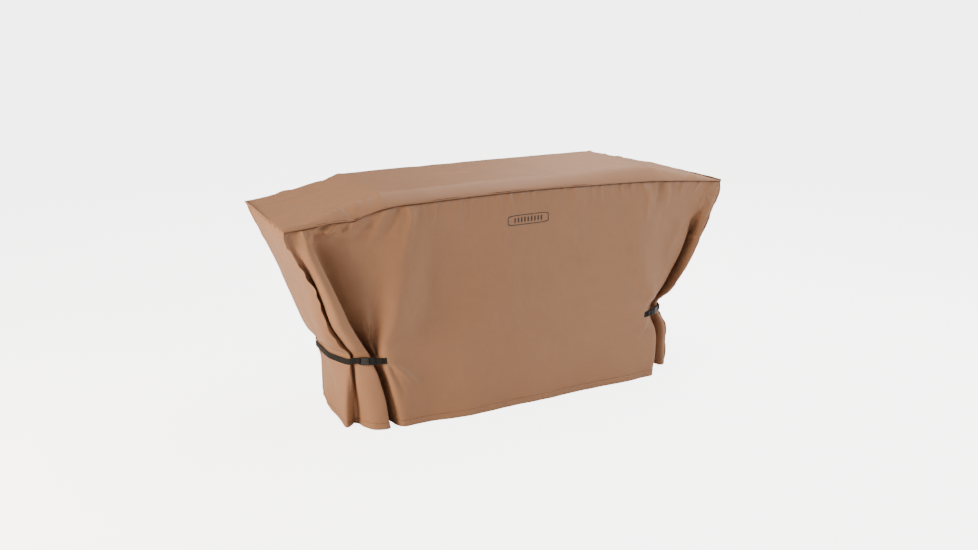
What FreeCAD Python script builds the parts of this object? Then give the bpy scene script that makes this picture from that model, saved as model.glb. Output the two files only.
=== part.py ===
import FreeCAD, Part
import math
import os
import Sketcher

# Long fitted cover with a cinch strap and side-release buckle on each end.
# Millimetres, +Z up, standing on its hem, centred on x and y.

os.makedirs("parts", exist_ok=True)
doc = FreeCAD.newDocument("cover")
sheet = doc.addObject("Spreadsheet::Sheet", "sheet")

sizes = {
    # overall cloth shape
    "topEnd": 983, "depth": 263, "shelfHeight": 853, "ridgeHeight": 898,
    "plateauHeight": 950, "plateauHalf": 600, "plateauDepth": 209,
    "topFront": 977, "waistFront": 615, "waistEnd": 735, "hemFront": 600, "hemEnd": 750,
    "waistBulge": 780, "hemBulge": 762, "bulgeHalf": 80,
    "waistTop": 310, "waistBottom": 280, "hemHeight": 25,
    "skin": 1.6, "topSkin": 2, "fold": 3,
    # corner facets: run along y for each unit of x, and the mitre shifts that follow from it
    "facetSlope": 0.5666667, "frontShift": 0.26365, "endShift": 0.58276,
    # seams
    "tapeWidth": 10, "tapeSkin": 1.2, "tapeEnd": 960,
    "beadRadius": 2, "beadHalf": 250,
    "finDepth": 7, "finRoot": 1.5, "finHalf": 1, "finTop": 835,
    # straps
    "webbing": 1.3, "strapHalfWidth": 12.5, "strapHeight": 295, "tackEnd": 590,
    "patchFrom": 579, "patchWidth": 34, "patchHeight": 40, "patchSkin": 1.2,
    "stitchSize": 22, "stitchBar": 1, "stitchRise": 0.4,
    # printed mark
    "markX": 14, "markHeight": 790, "markLength": 190, "markDepth": 44, "markLine": 3,
    "markRise": 0.4, "barWidth": 5, "barGap": 13,
}
rules = {
    "wallTop": "=shelfHeight - topSkin",
    "ridgeTop": "=ridgeHeight - topSkin",
    "shelfUnder": "=shelfHeight - topSkin",
    "plateauUnder": "=plateauHeight - topSkin",
    "depthIn": "=depth - skin",
    "depthFold": "=depth - fold",
    "topSide": "=depth - (topEnd - topFront) * facetSlope",
    "waistSide": "=depth - (waistEnd - waistFront) * facetSlope",
    "hemSide": "=depth - (hemEnd - hemFront) * facetSlope",
    "topFrontIn": "=topFront - skin * frontShift",
    "waistFrontIn": "=waistFront - skin * frontShift",
    "hemFrontIn": "=hemFront - skin * frontShift",
    "hemFrontFold": "=hemFront - fold * frontShift",
    "topEndIn": "=topEnd - skin",
    "waistEndIn": "=waistEnd - skin",
    "hemEndIn": "=hemEnd - skin",
    "hemEndFold": "=hemEnd - fold",
    "topBulge": "=topEnd",
    "topBulgeIn": "=topEnd - skin",
    "waistBulgeIn": "=waistBulge - skin",
    "hemBulgeIn": "=hemBulge - skin",
    "hemBulgeFold": "=hemBulge - fold",
    "topSideIn": "=topSide - skin * endShift",
    "waistSideIn": "=waistSide - skin * endShift",
    "hemSideIn": "=hemSide - skin * endShift",
    "hemSideFold": "=hemSide - fold * endShift",
    "tapeLowEnd": "=wallTop - tapeWidth - 1",
    "tapeHighEnd": "=wallTop - 1",
    "tapeLowRidge": "=ridgeTop - tapeWidth - 1",
    "tapeHighRidge": "=ridgeTop - 1",
    "finShare": "=(finTop - waistTop) / (wallTop - waistTop)",
    "finEnd": "=waistEnd + (topEnd - waistEnd) * finShare",
    "finSide": "=waistSide + (topSide - waistSide) * finShare",
    "strapLow": "=strapHeight - strapHalfWidth",
    "depthStrap": "=depth + webbing",
    "strapFront": "=waistFront + webbing * frontShift",
    "strapEnd": "=waistEnd + webbing",
    "strapBulge": "=waistBulge + webbing",
    "strapSide": "=waistSide + webbing * endShift",
}
for row, (name, value) in enumerate([*sizes.items(), *rules.items()], start=1):
    sheet.set(f"A{row}", name)
    sheet.set(f"B{row}", str(value))
    sheet.setAlias(f"B{row}", name)
doc.recompute()


def size(name):
    return float(sheet.get(name))


def addRules(more):
    # further cells, under those already there
    first = len(sizes) + len(rules) + 1
    rules.update(more)
    for row, (name, value) in enumerate(more.items(), start=first):
        sheet.set(f"A{row}", name)
        sheet.set(f"B{row}", str(value))
        sheet.setAlias(f"B{row}", name)
    doc.recompute()


nodes = {}


def newBody(label):
    body = doc.addObject("PartDesign::Body", label)
    body.Label = label
    nodes[label] = body
    return body


def plane(body, role):
    return next(f for f in body.Origin.OriginFeatures if f.Role == role)


def sketchOn(body, role, level, flip=1):
    # a sketch parallel to an origin plane, its offset bound to a cell
    sketch = body.newObject("Sketcher::SketchObject", "sketch")
    sketch.AttachmentSupport = [(plane(body, role), "")]
    sketch.MapMode = "FlatFace"
    if level:
        offset = FreeCAD.Vector(0, 0, flip * size(level))
        sketch.AttachmentOffset = FreeCAD.Placement(offset, FreeCAD.Rotation())
        sketch.setExpression("AttachmentOffset.Base.z", f"{flip} * sheet.{level}")
    return sketch


def outline(sketch, corners):
    # closed polygon; a corner is (sign, cell, sign, cell) and every one is dimensioned
    first = sketch.GeometryCount
    count = len(corners)
    spots = [FreeCAD.Vector(sx * size(x), sy * size(y), 0) for sx, x, sy, y in corners]
    for i in range(count):
        sketch.addGeometry(Part.LineSegment(spots[i], spots[(i + 1) % count]), False)
    for i in range(count):
        after = first + (i + 1) % count
        sketch.addConstraint(Sketcher.Constraint("Coincident", first + i, 2, after, 1))
    for i, (sx, x, sy, y) in enumerate(corners):
        for kind, sign, cell in (("DistanceX", sx, x), ("DistanceY", sy, y)):
            ends = (-1, 1, first + i, 1) if sign > 0 else (first + i, 1, -1, 1)
            index = sketch.addConstraint(Sketcher.Constraint(kind, *ends, size(cell)))
            sketch.setExpression(f"Constraints[{index}]", f"sheet.{cell}")


def pad(body, sketch, length, reverse=False, both=False):
    feature = body.newObject("PartDesign::Pad", "pad")
    feature.Profile = sketch
    feature.Length = size(length)
    feature.setExpression("Length", f"sheet.{length}")
    feature.Reversed = reverse
    feature.SideType = "Symmetric" if both else "One side"
    return feature


def pocket(body, sketch, length, reverse=False, both=False):
    doc.recompute()
    feature = body.newObject("PartDesign::Pocket", "pocket")
    feature.Profile = sketch
    feature.Length = size(length)
    feature.setExpression("Length", f"sheet.{length}")
    feature.Reversed = reverse
    feature.SideType = "Symmetric" if both else "One side"
    return feature


def loft(body, sketches):
    feature = body.newObject("PartDesign::AdditiveLoft", "loft")
    feature.Profile = sketches[0]
    feature.Sections = sketches[1:]
    feature.Ruled = True
    return feature


# cloth walls: strips that follow the outline at each height

def longStrip(level, face, back):
    outer = [("End", "Side"), ("Front", "")]
    strip = [(-1, f"{level}{a}", face, f"{level}{b}" if b else "depth") for a, b in outer]
    strip += [(1, x, face, y) for _, x, _, y in reversed(strip)]
    inner = [(sx, x + back, sy, y + back) for sx, x, sy, y in reversed(strip)]
    return strip + inner


def endStrip(level, side, back):
    # the end bulges between its corners, over the middle stretch
    outer = [(side, f"{level}End", -1, f"{level}Side"), (side, f"{level}Bulge", -1, "bulgeHalf"),
             (side, f"{level}Bulge", 1, "bulgeHalf"), (side, f"{level}End", 1, f"{level}Side")]
    inner = [(sx, x + back, sy, y if y == "bulgeHalf" else y + back) for sx, x, sy, y in reversed(outer)]
    return outer + inner


heights = (("top", "wallTop"), ("waist", "waistTop"), ("waist", "waistBottom"), ("hem", "hemHeight"))


def wall(label, strip, way):
    body = newBody(label)
    sections = []
    for level, height in heights:
        sketch = sketchOn(body, "XY_Plane", height)
        outline(sketch, strip(level, way, "In"))
        sections.append(sketch)
    loft(body, sections)
    return body


def hem(label, strip, way):
    body = newBody(label)
    sketch = sketchOn(body, "XY_Plane", None)
    outline(sketch, strip("hem", way, "Fold"))
    pad(body, sketch, "hemHeight")
    return body


gable = [(-1, "topFront", 1, "wallTop"), (-1, "plateauHalf", 1, "ridgeTop"),
         (1, "plateauHalf", 1, "ridgeTop"), (1, "topFront", 1, "wallTop")]
tape = [(-1, "tapeEnd", 1, "tapeLowEnd"), (-1, "plateauHalf", 1, "tapeLowRidge"),
        (1, "plateauHalf", 1, "tapeLowRidge"), (1, "tapeEnd", 1, "tapeLowEnd"),
        (1, "tapeEnd", 1, "tapeHighEnd"), (1, "plateauHalf", 1, "tapeHighRidge"),
        (-1, "plateauHalf", 1, "tapeHighRidge"), (-1, "tapeEnd", 1, "tapeHighEnd")]

for name, face in (("front", -1), ("rear", 1)):
    body = wall(f"{name}_panel", longStrip, face)
    doc.recompute()
    # the raised part of the wall, over the strip's own thickness
    sketch = sketchOn(body, "XZ_Plane", "depthIn", -face)
    outline(sketch, gable)
    pad(body, sketch, "skin", reverse=face > 0)
    hem(f"{name}_hem", longStrip, face)
    # seam allowance taped flat on the inside, under the top edge
    body = newBody(f"{name}_seam_tape")
    sketch = sketchOn(body, "XZ_Plane", "depthIn", -face)
    outline(sketch, tape)
    pad(body, sketch, "tapeSkin", reverse=face < 0)

for name, side in (("left", -1), ("right", 1)):
    wall(f"{name}_end_panel", endStrip, side)
    hem(f"{name}_hem", endStrip, side)

# top: one section at each shelf end and one at each edge of the raised middle
body = newBody("top_panel")
sections = []
for role, flip, edge, crown in (("topEnd", -1, "shelf", "shelf"), ("plateauHalf", -1, "ridge", "plateau"),
                                ("plateauHalf", 1, "ridge", "plateau"), ("topEnd", 1, "shelf", "shelf")):
    sketch = sketchOn(body, "YZ_Plane", role, flip)
    upper = [(-1, "depth", 1, f"{edge}Height"), (-1, "plateauDepth", 1, f"{crown}Height"),
             (1, "plateauDepth", 1, f"{crown}Height"), (1, "depth", 1, f"{edge}Height")]
    under = {"shelfHeight": "shelfUnder", "ridgeHeight": "ridgeTop", "plateauHeight": "plateauUnder"}
    outline(sketch, upper + [(sx, x, sy, under[y]) for sx, x, sy, y in reversed(upper)])
    sections.append(sketch)
loft(body, sections)

# piping bead along each end's top edge
addRules({"beadX": "=topEnd + beadRadius", "beadLength": "=2 * beadHalf"})
for name, side in (("left", -1), ("right", 1)):
    bead = doc.addObject("Part::Cylinder", f"{name}_piping")
    bead.Label = f"{name}_piping"
    bead.setExpression("Radius", "sheet.beadRadius")
    bead.setExpression("Height", "sheet.beadLength")
    start = FreeCAD.Vector(side * size("beadX"), size("beadHalf"), size("wallTop"))
    bead.Placement = FreeCAD.Placement(start, FreeCAD.Rotation(FreeCAD.Vector(1, 0, 0), 90))
    nodes[bead.Label] = bead

# standing seams at the corners, interrupted where the strap crosses them
turn = math.atan(size("facetSlope"))
lean = (math.pi / 2 - turn) / 2
addRules({"outX": round(math.cos(lean), 5), "outY": round(math.sin(lean), 5)})


def finCells(level, end, side):
    # five corners of the fin: root on the panel corner, then the two plies
    more = {f"{level}KeelX": f"={end}", f"{level}KeelY": f"={side}"}
    for tag, run in (("Root", "finRoot"), ("Tip", "finDepth")):
        for flank, sign in (("A", "+"), ("B", "-")):
            other = "-" if sign == "+" else "+"
            more[f"{level}{tag}{flank}x"] = f"={end} + {run} * outX {sign} finHalf * outY"
            more[f"{level}{tag}{flank}y"] = f"={side} + {run} * outY {other} finHalf * outX"
    addRules(more)


finCells("finHigh", "finEnd", "finSide")
finCells("finMid", "waistEnd", "waistSide")
finCells("finLow", "hemEnd", "hemSide")


def finStrip(level, side, face):
    tags = ("RootA", "TipA", "TipB", "RootB")
    corners = [(side, f"{level}KeelX", face, f"{level}KeelY")]
    return corners + [(side, f"{level}{t}x", face, f"{level}{t}y") for t in tags]


for name, side, face in (("front_left", -1, -1), ("front_right", 1, -1),
                         ("rear_left", -1, 1), ("rear_right", 1, 1)):
    for part, ends in (("upper", (("finHigh", "finTop"), ("finMid", "waistTop"))),
                       ("lower", (("finMid", "waistBottom"), ("finLow", "hemHeight")))):
        body = newBody(f"{name}_{part}_seam")
        sections = []
        for level, height in ends:
            sketch = sketchOn(body, "XY_Plane", height)
            outline(sketch, finStrip(level, side, face))
            sections.append(sketch)
        loft(body, sections)

# straps: webbing lying on the waist band, 25 wide
addRules({
    "along": round(math.cos(turn), 5), "across": round(math.sin(turn), 5),
    "strapWidth": "=2 * strapHalfWidth",
    "facetX": "=(waistFront + waistEnd) / 2", "facetY": "=(depth + waistSide) / 2",
    "facetHalf": "=(waistEnd - waistFront) / 2 / along",
    "shortRun": 50, "longFrom": 93,
    "shortX": "=waistFront + shortRun * along", "shortY": "=depth - shortRun * across",
    "shortXo": "=shortX + webbing * across", "shortYo": "=shortY + webbing * along",
    "longX": "=waistFront + longFrom * along", "longY": "=depth - longFrom * across",
    "longXo": "=longX + webbing * across", "longYo": "=longY + webbing * along",
})
for name, side in (("left", -1), ("right", 1)):
    body = newBody(f"{name}_front_strap")
    sketch = sketchOn(body, "XY_Plane", "strapLow")
    outline(sketch, [(side, "tackEnd", -1, "depth"), (side, "waistFront", -1, "depth"),
                     (side, "shortX", -1, "shortY"), (side, "shortXo", -1, "shortYo"),
                     (side, "strapFront", -1, "depthStrap"), (side, "tackEnd", -1, "depthStrap")])
    pad(body, sketch, "strapWidth")
    body = newBody(f"{name}_end_strap")
    sketch = sketchOn(body, "XY_Plane", "strapLow")
    outline(sketch, [(side, "longX", -1, "longY"), (side, "waistEnd", -1, "waistSide"),
                     (side, "waistBulge", -1, "bulgeHalf"), (side, "waistBulge", 1, "bulgeHalf"),
                     (side, "waistEnd", 1, "waistSide"), (side, "waistFront", 1, "depth"),
                     (side, "tackEnd", 1, "depth"), (side, "tackEnd", 1, "depthStrap"),
                     (side, "strapFront", 1, "depthStrap"), (side, "strapEnd", 1, "strapSide"),
                     (side, "strapBulge", 1, "bulgeHalf"), (side, "strapBulge", -1, "bulgeHalf"),
                     (side, "strapEnd", -1, "strapSide"), (side, "longXo", -1, "longYo")])
    pad(body, sketch, "strapWidth")


def box(name, cells, spot):
    solid = doc.addObject("Part::Box", name)
    for side, cell in zip(("Length", "Width", "Height"), cells):
        setattr(solid, side, size(cell))
        solid.setExpression(side, f"sheet.{cell}")
    solid.Placement.Base = FreeCAD.Vector(*spot)
    return solid


def join(label, pieces):
    joined = doc.addObject("Part::MultiFuse", label)
    joined.Label = label
    joined.Shapes = pieces
    nodes[label] = joined
    return joined


# reinforcing patches inside, box-and-cross stitching outside, at the four strap ends
addRules({"stitchCross": "=(stitchSize - 2 * stitchBar) * 1.4142",
          "patchBack": "=depth - skin - patchSkin"})
for name, side, face in (("front_left", -1, -1), ("front_right", 1, -1),
                         ("rear_left", -1, 1), ("rear_right", 1, 1)):
    low = size("strapHeight") - size("patchHeight") / 2
    near = size("patchFrom") if side > 0 else -size("patchFrom") - size("patchWidth")
    back = size("patchBack") if face > 0 else -size("patchBack") - size("patchSkin")
    patch = box(f"{name}_patch", ("patchWidth", "patchSkin", "patchHeight"), (near, back, low))
    patch.Label = f"{name}_patch"
    nodes[patch.Label] = patch
    # stitches are drawn in their own x-z plane, rising towards -y, then turned to their wall
    half = size("stitchSize") / 2
    bar = size("stitchBar")
    rise = size("stitchRise")
    flat = [box("stitch", ("stitchSize", "stitchRise", "stitchBar"), (-half, -rise, z))
            for z in (-half, half - bar)]
    flat += [box("stitch", ("stitchBar", "stitchRise", "stitchSize"), (x, -rise, -half))
             for x in (-half, half - bar)]
    for angle in (45, -45):
        cross = box("stitch", ("stitchCross", "stitchRise", "stitchBar"), (0, 0, 0))
        spin = FreeCAD.Rotation(FreeCAD.Vector(0, 1, 0), angle)
        middle = FreeCAD.Vector(size("stitchCross") / 2, rise, bar / 2)
        cross.Placement = FreeCAD.Placement(spin.multVec(middle).negative(), spin)
        flat.append(cross)
    stitch = join(f"{name}_stitch", flat)
    spot = FreeCAD.Vector(side * (size("tackEnd") + size("strapHalfWidth") - 0.5),
                          face * size("depthStrap"), size("strapHeight"))
    stitch.Placement = FreeCAD.Placement(
        spot, FreeCAD.Rotation(FreeCAD.Vector(0, 0, 1), 180 if face > 0 else 0))

# side-release buckle, drawn flat: x along the strap, y across it, z away from the cloth
addRules({
    "halfWidth": 15.5, "socketMouth": 3, "socketBack": 21, "barFar": 31, "barNear": 25.6,
    "plateLow": 1.6, "plateHigh": 11, "barHigh": 6, "socketRise": "=plateHigh - plateLow",
    "cavityLow": 3.2, "cavityHigh": 9.4, "cavityHalf": 13.9, "cavityDepth": 22,
    "windowBack": 15, "windowFront": 3.5, "slotHalf": 13.2, "throughAll": 40, "cutHigh": 12,
    "cornerCut": 3, "socketShoulder": "=halfWidth - cornerCut", "socketTail": "=barFar - cornerCut",
    "mouthCut": "=socketMouth - 1.5", "mouthHalf": "=halfWidth - 1.5",
    "baseNear": 3.5, "baseFar": 9, "baseLow": 1.9, "baseHigh": 10.7,
    "baseRise": "=baseHigh - baseLow",
    "railFar": 31, "railLow": 3.5, "railHigh": 7.1, "railRise": "=railHigh - railLow",
    "railCut": "=railFar - cornerCut",
    "holeNear": 9, "holeFar": 14, "gapNear": 18.5, "gapFar": 25, "railIn": 13.2,
    "pinTip": 14, "pinHalf": 1.8, "pinLow": 5, "pinHigh": 7.6, "pinTaper": 1,
    "pinRise": "=pinHigh - pinLow", "pinNeck": "=pinTip - 2",
    "armLow": 3.6, "armHigh": 9, "armRise": "=armHigh - armLow",
    "hingeX": 1.2, "hingeY": 9, "knuckle": 2, "armIn": 7.4, "armTipIn": 9.6, "armTipOut": 12.4,
    "armTip": 15, "padFrom": 3, "padTo": 12.5, "padOut": 15, "armOut": "=hingeY + knuckle",
    "armInner": "=hingeY - knuckle", "armKneeX": 4,
})


def facetPlacement(side):
    along, across = size("along"), size("across")
    base = (side * size("facetX"), -size("facetY"), size("strapHeight"))
    x = (-side * along, -across, 0)
    y = (0, 0, -side)
    z = (side * across, -along, 0)
    rows = [v for row in zip(x, y, z, base) for v in row]
    return FreeCAD.Placement(FreeCAD.Matrix(*rows, 0, 0, 0, 1))


def rectangle(left, right, low, high):
    # corner list from four (sign, cell) pairs
    return [(*left, *low), (*right, *low), (*right, *high), (*left, *high)]


def buckleSocket(label):
    body = newBody(label)
    sketch = sketchOn(body, "XY_Plane", "plateLow")
    outline(sketch, [(-1, "barFar", -1, "socketShoulder"), (-1, "socketTail", -1, "halfWidth"),
                     (1, "mouthCut", -1, "halfWidth"), (1, "socketMouth", -1, "mouthHalf"),
                     (1, "socketMouth", 1, "mouthHalf"), (1, "mouthCut", 1, "halfWidth"),
                     (-1, "socketTail", 1, "halfWidth"), (-1, "barFar", 1, "socketShoulder")])
    pad(body, sketch, "socketRise")
    doc.recompute()
    # cavity for the prongs, from the mouth inwards
    sketch = sketchOn(body, "YZ_Plane", "windowFront")
    outline(sketch, rectangle((-1, "cavityHalf"), (1, "cavityHalf"), (1, "cavityLow"), (1, "cavityHigh")))
    pocket(body, sketch, "cavityDepth")
    # side windows, where the arms show
    sketch = sketchOn(body, "XZ_Plane", None)
    outline(sketch, rectangle((-1, "windowBack"), (1, "windowFront"), (1, "cavityLow"), (1, "cavityHigh")))
    pocket(body, sketch, "throughAll", both=True)
    # low webbing bar behind the body, with a slot
    sketch = sketchOn(body, "XZ_Plane", None)
    outline(sketch, rectangle((-1, "throughAll"), (-1, "socketBack"), (1, "barHigh"), (1, "cutHigh")))
    pocket(body, sketch, "throughAll", both=True)
    sketch = sketchOn(body, "XY_Plane", None)
    outline(sketch, rectangle((-1, "barNear"), (-1, "socketBack"), (-1, "slotHalf"), (1, "slotHalf")))
    pocket(body, sketch, "cutHigh", reverse=True)
    return body


def bucklePlug(label):
    body = newBody(label)
    sketch = sketchOn(body, "XY_Plane", "baseLow")
    outline(sketch, rectangle((1, "baseNear"), (1, "baseFar"), (-1, "halfWidth"), (1, "halfWidth")))
    pad(body, sketch, "baseRise")
    doc.recompute()
    # ladder frame: two rails and two cross bars
    sketch = sketchOn(body, "XY_Plane", "railLow")
    outline(sketch, [(1, "baseNear", -1, "halfWidth"), (1, "railCut", -1, "halfWidth"),
                     (1, "railFar", -1, "socketShoulder"), (1, "railFar", 1, "socketShoulder"),
                     (1, "railCut", 1, "halfWidth"), (1, "baseNear", 1, "halfWidth")])
    pad(body, sketch, "railRise")
    doc.recompute()
    for near, far in (("holeNear", "holeFar"), ("gapNear", "gapFar")):
        sketch = sketchOn(body, "XY_Plane", None)
        outline(sketch, rectangle((1, near), (1, far), (-1, "railIn"), (1, "railIn")))
        pocket(body, sketch, "cutHigh", reverse=True)
    doc.recompute()
    # centre guide pin with a tapered nose
    sketch = sketchOn(body, "XY_Plane", "pinLow")
    outline(sketch, [(1, "baseNear", -1, "pinHalf"), (1, "baseNear", 1, "pinHalf"),
                     (-1, "pinNeck", 1, "pinHalf"), (-1, "pinTip", 1, "pinTaper"),
                     (-1, "pinTip", -1, "pinTaper"), (-1, "pinNeck", -1, "pinHalf")])
    pad(body, sketch, "pinRise")
    return body


def buckleArm(label, way):
    # sprung arm: round root by the plug's base, finger pad showing in the window
    body = newBody(label)
    sketch = sketchOn(body, "XY_Plane", "armLow")
    outline(sketch, [(1, "hingeX", way, "armInner"), (1, "hingeX", way, "armOut"),
                     (-1, "padFrom", way, "padOut"), (-1, "padTo", way, "padOut"),
                     (-1, "armTip", way, "armTipOut"), (-1, "armTip", way, "armTipIn"),
                     (-1, "armKneeX", way, "armTipIn")])
    pad(body, sketch, "armRise")
    doc.recompute()
    sketch = sketchOn(body, "XY_Plane", "armLow")
    centre = FreeCAD.Vector(size("hingeX"), way * size("hingeY"), 0)
    sketch.addGeometry(Part.Circle(centre, FreeCAD.Vector(0, 0, 1), size("knuckle")), False)
    ends = (-1, 1, 0, 3) if way > 0 else (0, 3, -1, 1)
    for kind, ends, cell in (("DistanceX", (-1, 1, 0, 3), "hingeX"), ("DistanceY", ends, "hingeY")):
        index = sketch.addConstraint(Sketcher.Constraint(kind, *ends, size(cell)))
        sketch.setExpression(f"Constraints[{index}]", f"sheet.{cell}")
    index = sketch.addConstraint(Sketcher.Constraint("Radius", 0, size("knuckle")))
    sketch.setExpression(f"Constraints[{index}]", "sheet.knuckle")
    pad(body, sketch, "armRise")
    return body


# webbing that turns round the socket's bar, and the tail held by the plug's ladder
addRules({
    "turnIn": 25.3, "turnOut": 24, "turnHigh": 6.3, "turnTop": 7.6,
    "turnFar": 31.3, "turnFarOut": 32.1, "turnFoot": 35.2, "turnFootOut": 36.2, "plyEnd": 60,
    "plyTop": "=2 * webbing",
    "tailLow": 1.8, "tailLowTop": "=tailLow + webbing", "tailStart": 36,
    "tailTurn": 10, "tailTurnIn": "=tailTurn + webbing",
    "tailOver": 7.4, "tailOverTop": "=tailOver + webbing", "tailEdge": 31.4, "tailEdgeOut": 32.4,
    "tailDrop": 38, "tailDropOut": 39.6, "tailRest": 3.4, "tailRestTop": "=tailRest + webbing",
    "tailEnd": 62,
})
fold = [(-1, "turnOut", 1, "webbing"), (-1, "turnOut", 1, "turnTop"), (-1, "turnFarOut", 1, "turnTop"),
        (-1, "turnFootOut", 1, "plyTop"), (-1, "plyEnd", 1, "plyTop"), (-1, "plyEnd", 1, "webbing"),
        (-1, "turnFoot", 1, "webbing"), (-1, "turnFar", 1, "turnHigh"), (-1, "turnIn", 1, "turnHigh"),
        (-1, "turnIn", 1, "webbing")]
tail = [(1, "tailStart", 1, "tailLow"), (1, "tailStart", 1, "tailLowTop"),
        (1, "tailTurnIn", 1, "tailLowTop"), (1, "tailTurnIn", 1, "tailOver"),
        (1, "tailEdge", 1, "tailOver"), (1, "tailDrop", 1, "tailRest"),
        (1, "tailEnd", 1, "tailRest"), (1, "tailEnd", 1, "tailRestTop"),
        (1, "tailDropOut", 1, "tailRestTop"), (1, "tailEdgeOut", 1, "tailOverTop"),
        (1, "tailTurn", 1, "tailOverTop"), (1, "tailTurn", 1, "tailLow")]


def ribbon(label, corners):
    body = newBody(label)
    sketch = sketchOn(body, "XZ_Plane", None)
    outline(sketch, corners)
    pad(body, sketch, "strapWidth", both=True)
    return body


for name, side in (("left", -1), ("right", 1)):
    # local +y is up on the left facet and down on the right one
    near, far = ("upper", "lower") if side < 0 else ("lower", "upper")
    made = [buckleSocket(f"{name}_buckle_socket"), bucklePlug(f"{name}_buckle_plug"),
            buckleArm(f"{name}_{near}_arm", 1), buckleArm(f"{name}_{far}_arm", -1),
            ribbon(f"{name}_strap_fold", fold), ribbon(f"{name}_strap_tail", tail)]
    for body in made:
        body.Placement = facetPlacement(side)

# printed mark on the front: a plain frame with upright bars
addRules({"markInnerLength": "=markLength - 2 * markLine", "markInnerDepth": "=markDepth - 2 * markLine",
          "barDepth": "=markDepth - 6 * markLine"})
frame = box("mark", ("markLength", "markRise", "markDepth"), (0, 0, 0))
hole = box("mark", ("markInnerLength", "markRise", "markInnerDepth"),
           (size("markLine"), 0, size("markLine")))
ring = doc.addObject("Part::Cut", "ring")
ring.Base = frame
ring.Tool = hole
bars = []
count = 9
for i in range(count):
    x = size("markLength") / 2 + (i - (count - 1) / 2) * size("barGap") - size("barWidth") / 2
    bars.append(box("mark", ("barWidth", "markRise", "barDepth"), (x, 0, 3 * size("markLine"))))
mark = doc.addObject("Part::Compound", "front_mark")
mark.Label = "front_mark"
mark.Links = [ring, *bars]
mark.Placement.Base = FreeCAD.Vector(size("markX") - size("markLength") / 2,
                                     -size("depth") - size("markRise"),
                                     size("markHeight") - size("markDepth") / 2)
nodes["front_mark"] = mark

doc.recompute()
for obj in doc.Objects:
    bad = [state for state in obj.State if state in ("Invalid", "Error")]
    if bad:
        raise RuntimeError(f"{obj.Name} ({obj.Label}) is {bad}")
for label, obj in nodes.items():
    if obj.Label != label:
        raise RuntimeError(f"{label} was renamed {obj.Label}")
    if obj.Shape.isNull() or not obj.Shape.isValid() or not obj.Shape.Solids:
        raise RuntimeError(f"{label} has no valid solid")
    obj.Shape.exportStep(f"parts/{label}.step")
    span = obj.Shape.BoundBox
    print(f"{label:24s} solids {len(obj.Shape.Solids)} volume {obj.Shape.Volume:12.1f}"
          f"  {span.XLength:7.1f} x {span.YLength:6.1f} x {span.ZLength:6.1f}")
print(len(nodes), "nodes")
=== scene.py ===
import math

import bmesh
import bpy
from mathutils import Matrix, Vector, noise
from mathutils.bvhtree import BVHTree


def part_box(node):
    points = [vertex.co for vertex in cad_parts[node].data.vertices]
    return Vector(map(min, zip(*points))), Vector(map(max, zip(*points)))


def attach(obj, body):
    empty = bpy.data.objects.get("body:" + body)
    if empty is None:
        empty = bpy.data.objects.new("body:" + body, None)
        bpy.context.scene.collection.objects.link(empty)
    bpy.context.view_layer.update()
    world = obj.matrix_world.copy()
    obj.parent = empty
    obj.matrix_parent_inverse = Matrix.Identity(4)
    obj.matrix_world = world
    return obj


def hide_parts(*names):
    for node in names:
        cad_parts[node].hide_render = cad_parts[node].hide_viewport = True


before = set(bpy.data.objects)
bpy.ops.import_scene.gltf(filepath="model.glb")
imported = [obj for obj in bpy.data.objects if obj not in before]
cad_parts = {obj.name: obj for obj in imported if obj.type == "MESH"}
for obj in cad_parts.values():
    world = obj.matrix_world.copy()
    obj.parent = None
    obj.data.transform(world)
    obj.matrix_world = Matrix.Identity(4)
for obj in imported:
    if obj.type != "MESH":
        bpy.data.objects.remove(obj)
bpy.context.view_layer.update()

collection = bpy.context.scene.collection
print("stage: frame loaded")


# small helpers

def clamp(value, low=0.0, high=1.0):
    return max(low, min(high, value))


def smooth(low, high, value):
    t = clamp((value - low) / (high - low))
    return t * t * (3 - 2 * t)


def bell(value, middle, width):
    return math.exp(-((value - middle) / width) ** 2)


def along(table, x):
    # smooth curve through (x, y) pairs in rising x
    if x <= table[0][0]:
        return table[0][1]
    if x >= table[-1][0]:
        return table[-1][1]
    i = next(k for k in range(len(table) - 1) if table[k + 1][0] >= x)
    (x0, y0), (x1, y1) = table[i], table[i + 1]
    before = table[i - 1] if i else table[i]
    after = table[i + 2] if i + 2 < len(table) else table[i + 1]
    span = x1 - x0
    m0 = (y1 - before[1]) / (x1 - before[0]) * span
    m1 = (after[1] - y0) / (after[0] - x0) * span
    t = (x - x0) / span
    return ((2 * t ** 3 - 3 * t ** 2 + 1) * y0 + (t ** 3 - 2 * t ** 2 + t) * m0
            + (3 * t ** 2 - 2 * t ** 3) * y1 + (t ** 3 - t ** 2) * m1)


def between(points, i, t):
    # the curve through points, from point i to the next
    p1, p2 = points[i], points[i + 1]
    p0 = points[i - 1] if i else p1 * 2 - p2
    p3 = points[i + 2] if i + 2 < len(points) else p2 * 2 - p1
    d0, d1, d2 = [max((b - a).length, 1e-5) ** 0.5 for a, b in ((p0, p1), (p1, p2), (p2, p3))]
    m1 = (p1 - p0) / d0 - (p2 - p0) / (d0 + d1) + (p2 - p1) / d1
    m2 = (p2 - p1) / d1 - (p3 - p1) / (d1 + d2) + (p3 - p2) / d2
    m1, m2 = m1 * d1, m2 * d1
    return (p1 * (2 * t ** 3 - 3 * t ** 2 + 1) + m1 * (t ** 3 - 2 * t ** 2 + t)
            + p2 * (3 * t ** 2 - 2 * t ** 3) + m2 * (t ** 3 - t ** 2))


def newPiece(name, bm, materials):
    mesh = bpy.data.meshes.new(name)
    for face in bm.faces:
        face.smooth = True
    bm.to_mesh(mesh)
    bm.free()
    piece = bpy.data.objects.new(name, mesh)
    collection.objects.link(piece)
    for material in materials:
        mesh.materials.append(material)
    return piece


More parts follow.
